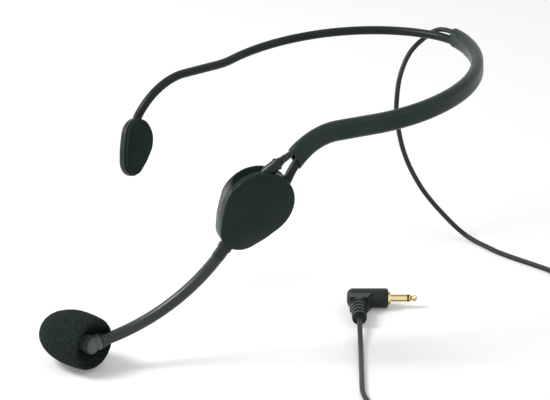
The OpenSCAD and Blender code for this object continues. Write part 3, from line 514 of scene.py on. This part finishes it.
def egg(big, tip):
    """Evenly spaced points of the egg's outline, each with its outward direction."""
    waist = [(b + t) / 2 for b, t in zip(big, tip)]
    waist[2] += FULLER
    dense = []
    for k in range(FINE_POINTS):
        a = math.tau * k / FINE_POINTS
        n = Vector((math.cos(a), math.sin(a)))
        x, y, radius = max((big, waist, tip), key=lambda c: Vector(c[:2]).dot(n) + c[2])
        dense.append((Vector((x, y)) + n * radius, n))
    lengths = [0.0]
    for k in range(FINE_POINTS):
        lengths.append(lengths[-1] + (dense[(k + 1) % FINE_POINTS][0] - dense[k][0]).length)
    out, i = [], 0
    for k in range(EGG_POINTS):
        goal = lengths[-1] * k / EGG_POINTS
        while lengths[i + 1] < goal:
            i += 1
        t = (goal - lengths[i]) / max(lengths[i + 1] - lengths[i], 1e-9)
        p, q = dense[i % FINE_POINTS], dense[(i + 1) % FINE_POINTS]
        out.append((p[0].lerp(q[0], t), p[1].lerp(q[1], t).normalized()))
    return out


def egg_rings(matrix, outline, steps, crown_steps, top, centre, tilt=0.0):
    """steps are (inset, height); then crown_steps rings shrink towards the centre up to top."""
    rings = [[(p - n * inset, height) for p, n in outline] for inset, height in steps]
    last, height = rings[-1], steps[-1][1]
    for k in range(1, crown_steps + 1):
        t = 1 - k / (crown_steps + 0.35)
        rings.append([(centre + (p - centre) * t, height + (top - height) * (1 - t * t))
                      for p, _ in last])
    return [[matrix @ (Vector((p.x, p.y, z - tilt * max(0.0, p.x - centre.x))) * MM)
             for p, z in ring] for ring in rings]


def rounded(inset, height, depth, count=6):
    """Steps round an edge: from (0, height - depth) to (inset, height)."""
    return [(inset * (1 - math.cos(math.pi / 2 * k / count)),
             height - depth * (1 - math.sin(math.pi / 2 * k / count)))
            for k in range(count + 1)]


def bore(target, matrix, low, high, outline):
    """Cuts a straight hole with a given outline through a shell."""
    cutter = loft("cutter", [ring_at(matrix @ shift(0, 0, z), outline) for z in (low, high)],
                  rubber, None)
    cut = target.modifiers.new("hole", "BOOLEAN")
    cut.operation, cut.solver, cut.object = "DIFFERENCE", "EXACT", cutter
    bpy.context.view_layer.objects.active = target
    bpy.ops.object.modifier_apply(modifier="hole")
    bpy.data.objects.remove(cutter)


print("An egg of", EGG_POINTS, "points measures",
      round(max(p.x for p, _ in egg((16.5, -6.6, 17.3), (30.3, -5.8, 11.1))), 1), "mm to its tip")

# %% [markdown]
# ## The pod
# The cover has a narrow bevel round a gently domed face. The base is the same egg behind it, and
# both have holes where the wire, the relief and the boom go in. Rings of the egg give the skins,
# and a Boolean cuts each hole, since a hole in a loft would break its rings.

# %% Make the pod
BIG, TIP = (16.5, -6.6, 17.3), (30.3, -5.8, 11.1)
HOLES = ((POD @ turn("Y", 90), 2.55, -5, 6), (RELIEF, 3.1, -6, 6), (FERRULE, 3.1, -14, -5))
centre = Vector((21.5, -6.3))
outside = egg(BIG, TIP)
inner = egg((16.5, -6.6, 15.7), (30.3, -5.8, 9.5))


def shell(name, matrix, outer_steps, outer_top, inner_steps, inner_top, material, node, tilt=0.0):
    """An open shell: the outer skin from its rim to the crown, and the inner skin back again."""
    out_rings = egg_rings(matrix, outside, outer_steps, 10, outer_top, centre, tilt)
    in_rings = egg_rings(matrix, inner, inner_steps, 5, inner_top, centre, tilt)
    made = loft(name, list(reversed(in_rings)) + out_rings, material, "band")
    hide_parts(node)
    for hole, radius, low, high in HOLES:
        bore(made, hole, low, high, disc(radius))
    made.data.set_sharp_from_angle(angle=math.radians(40))
    return made


cover = shell("pod_cover_skin", POD, [(0.15, 0.6), (0.0, 0.75), (0.0, 3.0)]
              + rounded(1.15, 4.55, 1.15, count=7) + [(1.45, 4.68)], 6.8,
              [(0, 0.6), (0, 3.0)], 5.2, cover_plastic, "pod_cover", tilt=0.02)
BACK = POD @ Matrix.Scale(-1, 4, Vector((0, 0, 1)))
base = shell("pod_base_skin", BACK, [(0.15, -0.5), (0.0, -0.35), (0.0, 3.2)]
             + rounded(1.6, 4.8, 1.6), 4.8,
             [(0, -0.45), (0, 3.2)], 3.25, base_plastic, "pod_base")
# The painted sheen starts 9 mm behind the base's foremost point and is full from 4 mm behind it
front = max(v.co.dot(-right) for v in base.data.vertices)
painted_sheen_along(base_plastic, -right, front - 9 * MM, front - 4 * MM, 0.015, 0.6)
print("Pod cover faces:", len(cover.data.polygons), "base faces:", len(base.data.polygons))

# %% [markdown]
# ## Cushions
# A cushion is fullest in the middle, and its edge is round where its skin is pulled over the foam.
# It is lofted like a shell, then moved a little along its normals by noise and smoothed, so that no
# part of it looks machined. The temple's cushion faces the camera, so both get the same care.

# %% Make the cushions
WAVES, PUFF = 160, 0.12


def cushion(name, matrix, big, tip, thick, node):
    """A soft egg-shaped pad with a round edge and a crowned face."""
    outline = egg(big, tip)
    mid = Vector(((big[0] + tip[0]) / 2, (big[1] + tip[1]) / 2))
    side = [(0.1, 0.0), (0.0, 0.12), (0.0, thick * 0.3), (0.0, thick * 0.45)]
    rings = egg_rings(matrix, outline, side + rounded(1.7, thick * 0.92, thick * 0.45), 9,
                      thick + 0.15, mid)
    made = loft(name, rings, cushion_skin, "band")
    for v in made.data.vertices:
        puff = noise.noise(v.co * WAVES) * PUFF * MM
        v.co += v.normal * puff
    smooth = made.modifiers.new("smooth", "SUBSURF")
    smooth.levels = smooth.render_levels = 1
    bpy.context.view_layer.objects.active = made
    bpy.ops.object.modifier_apply(modifier="smooth")
    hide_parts(node)
    return made


pod_cushion = cushion("pod_cushion_pad", BACK @ shift(0, 0, 4.8), (16.5, -6.6, 15.9),
                      (30.3, -5.8, 9.7), 2.6, "pod_cushion")
FLIP = Matrix.Scale(-1, 4, Vector((0, 1, 0)))
TEMPLE = FLIP @ POD
TEMPLE_BACK = TEMPLE @ Matrix.Scale(-1, 4, Vector((0, 0, 1)))
temple_cushion = cushion("temple_cushion_pad", TEMPLE_BACK @ shift(0, 0, 2.2), (11.85, 1.35, 9.9),
                         (23.25, 0.1, 6.6), 2.4, "temple_cushion")
print("Cushion vertices:", len(pod_cushion.data.vertices), len(temple_cushion.data.vertices))

# %% [markdown]
# The temple's cushion is glued into a small domed shell, with a hole for the wire's skin.

# %% Make the temple shell
temple_mid = Vector((16.5, 0.9))
temple_out = egg_rings(TEMPLE, egg((11.85, 1.35, 10.5), (23.25, 0.1, 7.2)),
                       [(0.3, -2.2), (0, -1.9), (0, 0)] + rounded(1.8, 1.6, 1.6), 8, 3.5,
                       temple_mid)
temple_in = egg_rings(TEMPLE, egg((11.85, 1.35, 9.3), (23.25, 0.1, 6)), [(0, -2.2), (0, 1)], 4,
                      2.3, temple_mid)
temple_shell = loft("temple_shell_skin", list(reversed(temple_in)) + temple_out, temple_plastic,
                    "band")
bore(temple_shell, TEMPLE @ turn("Y", 90), -5, 6, disc(2.35))
temple_shell.data.set_sharp_from_angle(angle=math.radians(40))
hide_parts("temple_shell")
print("Temple shell faces:", len(temple_shell.data.polygons))

# %% [markdown]
# ## The boom's skin
# The rubber skin bends at eight balls. Blender bends a piece between two bodies that share one
# joint, so the skin is cut where it stays straight, in the middle of each link, and each length
# bends at one ball.

# %% Make the boom's skin and its lead
BOOM_R, BOOM_BORE_R, MIC_LEAD_R = 2.8, 2.35, 0.6
WHOLE_TURN = 39.2  # the boom's turn from its first ball to its last, in degrees
ARC_R = LINK_PITCH / 2 / math.sin(math.radians(LINK_TURN / 2))
BEND = FERRULE @ turn("X", LINK_TURN / 2)


def boom_frame(degrees):
    return BEND @ step(0, -90, ARC_R, degrees)


for k in range(8):
    low, high = (k - 0.5) * LINK_TURN, (k + 0.5) * LINK_TURN
    angles = [low + (high - low) * i / 12 for i in range(13)]
    if k == 0:
        stretch = [FERRULE @ shift(0, 0, z) for z in (-1.6, -1.0, -0.4)]
        stretch += [boom_frame(a) for a in angles if a >= 0]
    elif k == 7:
        stretch = [boom_frame(a) for a in angles if a <= WHOLE_TURN]
        stretch += [STEM @ shift(0, 0, z) for z in (0.8, 1.6, 2.2, 3.2, 4.3)]
    else:
        stretch = [boom_frame(a) for a in angles]
    # The skin widens a little where the holder grips it
    radii = [BOOM_R] * (len(stretch) - 3) + ([2.95, 3.2, 3.35] if k == 7 else [BOOM_R] * 3)
    length = loft(f"boom_skin_{k + 1}", [ring_at(m, disc(r, 40)) for m, r in zip(stretch, radii)]
                  + [ring_at(m, disc(BOOM_BORE_R, 40)) for m in reversed(stretch)], boom_rubber,
                  None, loop=True)
    wire = tube(f"boom_lead_{k + 1}", [m.translation for m in stretch], MIC_LEAD_R, lead_pvc,
                None, 8)
    for part in (length, wire):
        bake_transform(part)
    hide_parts("boom_skin")
    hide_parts("mic_lead")
print("Boom lengths: 8, bend radius", round(ARC_R, 1), "mm")

# %% [markdown]
# The lead's two ends don't bend: one lies in the pod, the other in the capsule's tube.

# %% The boom lead's two ends
room = [(20.2, -18.9), (21.8, -17.2), (22.5, -14.6), (24, -12), (27, -9.6), (30.6, -7.2)]
pod_end = through([RELIEF @ Vector((0, 0, 18 * MM))] + [POD @ (Vector((x, y, 0)) * MM)
                                                        for x, y in room]
                  + [FERRULE @ Vector((0, 0, z * MM)) for z in (-17.4, -14, -8, -1.6)], 4)
tail = tube("boom_lead_pod", pod_end, MIC_LEAD_R, lead_pvc, "band", 8)
tip_end = through([STEM @ Vector((0, 0, z * MM)) for z in (2.2, 5, 7.8)]
                  + [CAPSULE @ Vector((0, 0, z * MM)) for z in (1.6, 5.7)], 4)
tip_lead = tube("boom_lead_tip", tip_end, MIC_LEAD_R, lead_pvc, "microphone", 8)
for part in (tail, tip_lead):
    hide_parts("mic_lead")
print("Lead ends:", tail.name, tip_lead.name)

# %% [markdown]
# ## The capsule's holder
# A short collar stands at the end of the boom's skin, with a groove between the two whose dark
# rubber paints the shade in that gap, and a ring across it holds the capsule's tube. All three
# are turned forms with small roundings, so they are lofts of circles, and a Boolean cuts a sound
# slot in each side of the ring.

# %% Make the holder
def turned(name, matrix, steps, material):
    """A form turned round the z axis of a matrix, from (radius, z) steps."""
    made = loft(name, [ring_at(matrix @ shift(0, 0, z), disc(r, 48)) for r, z in steps], material,
                "microphone", loop=True)
    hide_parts("mic_elbow")
    return made


collar = turned("holder_collar", STEM, [(2.82, 5.0), (3.4, 5.0), (3.68, 5.2), (3.8, 5.6),
                                        (3.8, 7.2), (3.62, 7.35), (3.62, 7.7), (3.8, 7.85),
                                        (3.8, 12.2), (2.82, 12.2)], holder_plastic)
# The groove is a real step, and its dark rubber is painted shade for the gap between skin and
# collar
groove = turned("holder_groove", STEM, [(2.82, 4.2), (3.45, 4.2), (3.62, 4.35), (3.62, 4.9),
                                        (3.45, 5.05), (2.82, 5.05)], relief_rubber)
seat = turned("holder_seat", CAPSULE, [(3.0, -2.8), (3.3, -2.8), (3.75, -2.68), (4.02, -2.4),
                                       (4.1, -2.0), (4.1, -0.4), (3.95, -0.25), (3.95, 0.05),
                                       (4.1, 0.2), (4.1, 3.0), (3.45, 3.0), (3.45, 5.0),
                                       (3.0, 5.0)], holder_plastic)
# A sound slot on each side, behind the capsule
for side in (-1, 1):
    bore(seat, CAPSULE, 0.9, 2.0, [(-2.2, 2.4 * side), (2.2, 2.4 * side), (2.2, 5 * side),
                                   (-2.2, 5 * side)])
seat.data.set_sharp_from_angle(angle=math.radians(40))
print("Holder pieces:", collar.name, groove.name, seat.name)

# %% [markdown]
# ## The foam windscreen
# The foam is a dome, dished at the back round the tube. Its profile is spun round the capsule's
# axis, and every point then moves a little along its normal: slow waves for the hand-cut shape, and
# a fine field for the torn cells. The material's bump carries what is finer still.

# %% Make the foam
outline = [(0, 13.8), (4.4, 13.8), (4.4, 9), (4.4, 4.2), (5.2, 3.4), (7.4, 1.7), (9.8, -0.5),
           (10.8, -2.1), (11.6, -2.75), (12.4, -2.1), (12.95, -0.5), (13.35, 2.8), (13.4, 5.5)]
outline += [(13.4 * math.cos(math.radians(a)) + 0.02, 8.2 + 21 * math.sin(math.radians(a)))
            for a in range(0, 91, 9)]
profile = through([(r, 0, z) for r, z in outline[1:]], 5)
SPIN = 144
# (how closely packed, how deep in mm) for the slow waves and for the torn cells
SLOW, TORN = (90, 0.22), (900, 0.13)
FLATTER = 0.09  # the underside is a little flatter than the top
rings = []
for p in [Vector((0.05, 0, 13.8))] + profile:
    rings.append([CAPSULE @ (Vector((p.x * math.cos(math.tau * k / SPIN),
                                     p.x * math.sin(math.tau * k / SPIN), p.z)) * MM)
                  for k in range(SPIN)])
foam_skin = soft_black("windscreen_foam", (0.005, 0.009, 0.008), (0.026, 0.037, 0.035), 0.9,
                       grain=1500, bump=1.0, blotch=1400, specular=0.05)
foam = loft("foam_ball", rings, foam_skin, "windscreen")
for v in foam.data.vertices:
    outward = (v.co - CAPSULE.translation) / MM
    if outward.length > 8:
        wave = noise.noise(v.co * SLOW[0]) * SLOW[1] + noise.noise(v.co * TORN[0]) * TORN[1]
        v.co += v.normal * wave * MM
        if outward.z < 0:
            v.co.z -= FLATTER * outward.z * MM
foam.data.set_sharp_from_angle(angle=math.radians(75))
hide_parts("foam_windscreen")
print("Foam vertices:", len(foam.data.vertices))

# %% [markdown]
# ## The free lead
# The route becomes a curve with a round bevel, and its coil is held by a tie. The plug's pieces are
# CAD nodes that lie on the lead's far end.

# %% Lay the lead
curve = bpy.data.curves.new("free_lead", "CURVE")
curve.dimensions = "3D"
spline = curve.splines.new("POLY")
spline.points.add(len(route) - 1)
for point, place in zip(spline.points, route):
    point.co = (*place, 1)
curve.bevel_depth = LEAD_D / 2 * MM
curve.bevel_resolution = 6
curve.use_fill_caps = True
curve.materials.append(lead_pvc)
lead = bpy.data.objects.new("free_lead", curve)
scene.collection.objects.link(lead)
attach(lead, "band")
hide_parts("cable_run", "cable_coil", "plug_run")

# %% [markdown]
# ## Better materials for the CAD parts
# The CAD parts keep their shape and only get a material. A node's material slots can simply be
# filled again.

# %% Dress the CAD nodes
dress = {"band_wire": steel, "band_anchor": brass, "temple_anchor": brass,
         "cable_clamp": steel, "splice_sleeve": relief_rubber,
         "pod_screws": steel, "boom_ferrule": temple_plastic, "boom_clip": steel,
         "mic_stem": boom_rubber, "mic_rear_cap": holder_plastic,
         "capsule_tube": holder_plastic, "capsule_boot": relief_rubber, "mic_capsule": steel,
         "capsule_board": board, "front_grille": steel, "cable_tie": plug_plastic,
         "plug_body": plug_plastic, "plug_relief": plug_plastic, "plug_sleeve_contact": gold,
         "plug_ring": plug_plastic, "plug_tip": gold}
dress.update({f"boom_link_{k}": steel for k in range(1, 8)})
for name, material in dress.items():
    data = nodes[name].data
    data.materials.clear()
    data.materials.append(material)
    data.polygons.foreach_set("material_index", [0] * len(data.polygons))
print("Dressed nodes:", len(dress))

# %% [markdown]
# ## Floor and world
# The floor and the world are white. A white that only reflects would come out grey, so both add a
# little of their own light, but only for rays that look at them straight, in a mirror or through
# glass. So the background is plain white, the shadow under the headset stays, and of the headset
# itself only the shine gets stronger.

# %% Make the floor and the world
SKY, SKY_SEEN, GLOW = 0.55, 0.45, 0.13
floor_mesh = bpy.data.meshes.new("floor")
floor_mesh.from_pydata([(x, y, FLOOR * MM) for x, y in ((-4, -4), (4, -4), (4, 4), (-4, 4))],
                       [], [(0, 1, 2, 3)])
floor = bpy.data.objects.new("floor", floor_mesh)
scene.collection.objects.link(floor)
white = bpy.data.materials.new("white_floor")
white.use_nodes = True
white.node_tree.nodes["Principled BSDF"].inputs["Base Color"].default_value = (0.93, 0.93, 0.93, 1)
white.node_tree.nodes["Principled BSDF"].inputs["Roughness"].default_value = 0.9
floor_mesh.materials.append(white)

world = bpy.data.worlds.new("world")
scene.world = world
world.use_nodes = True
world.node_tree.nodes["Background"].inputs["Color"].default_value = (1, 1, 1, 1)
world.node_tree.nodes["Background"].inputs["Strength"].default_value = SKY


def seen_directly(tree):
    """1 for rays that look at a surface straight, in a mirror or through glass, and else 0."""
    path = tree.nodes.new("ShaderNodeLightPath")
    total = path.outputs["Is Camera Ray"]
    for name in ("Is Glossy Ray", "Is Transmission Ray"):
        add = tree.nodes.new("ShaderNodeMath")
        add.operation, add.use_clamp = "ADD", True
        tree.links.new(total, add.inputs[0])
        tree.links.new(path.outputs[name], add.inputs[1])
        total = add.outputs[0]
    return total


def scaled(tree, value, factor, base):
    """value times factor plus base."""
    node = tree.nodes.new("ShaderNodeMath")
    node.operation = "MULTIPLY_ADD"
    tree.links.new(value, node.inputs[0])
    node.inputs[1].default_value, node.inputs[2].default_value = factor, base
    return node.outputs[0]


sky = world.node_tree
sky.links.new(scaled(sky, seen_directly(sky), SKY_SEEN, SKY),
              sky.nodes["Background"].inputs["Strength"])
ground = white.node_tree
ground_shader = ground.nodes["Principled BSDF"]
ground_shader.inputs["Emission Color"].default_value = (1, 1, 1, 1)
ground.links.new(scaled(ground, seen_directly(ground), GLOW, 0),
                 ground_shader.inputs["Emission Strength"])
print("White world at", SKY, "and", SKY + SKY_SEEN, "where it is seen")

# %% [markdown]
# ## Lamps
# Three area lamps: a soft one from the upper left makes the shadow, a tall, narrow one from behind
# on the left draws thin highlights along the boom and the band, and a weak one fills the right.

# %% Light the scene
def lamp(name, place, aim, size, power, height=None):
    """An area lamp in metres and watts, square unless it has a height."""
    data = bpy.data.lights.new(name, "AREA")
    data.energy, data.size = power, size
    if height:
        data.shape, data.size_y = "RECTANGLE", height
    made = bpy.data.objects.new(name, data)
    made.location = place
    made.rotation_euler = (Vector(place) - Vector(aim)).to_track_quat("Z", "Y").to_euler()
    scene.collection.objects.link(made)


middle = Vector((0.05, 0.02, -0.05))
lamp("key", middle - right * 0.75 + Vector((0, 0, 0.75)) + back * 0.1, middle, 0.4, 8)
lamp("rim", middle - right * 0.95 - back * 0.45 + Vector((0, 0, 0.12)), middle, 0.16, 2.5, 0.9)
lamp("fill", middle + right * 0.9 + Vector((0, 0, 0.5)) + back * 0.5, middle, 0.9, 1.5)
print("Lamps:", len(bpy.data.lights))

# %% [markdown]
# ## Render settings
# The view stays plain, so that a colour renders about as it is written.

# %% Finish
scene.view_settings.view_transform = "Standard"
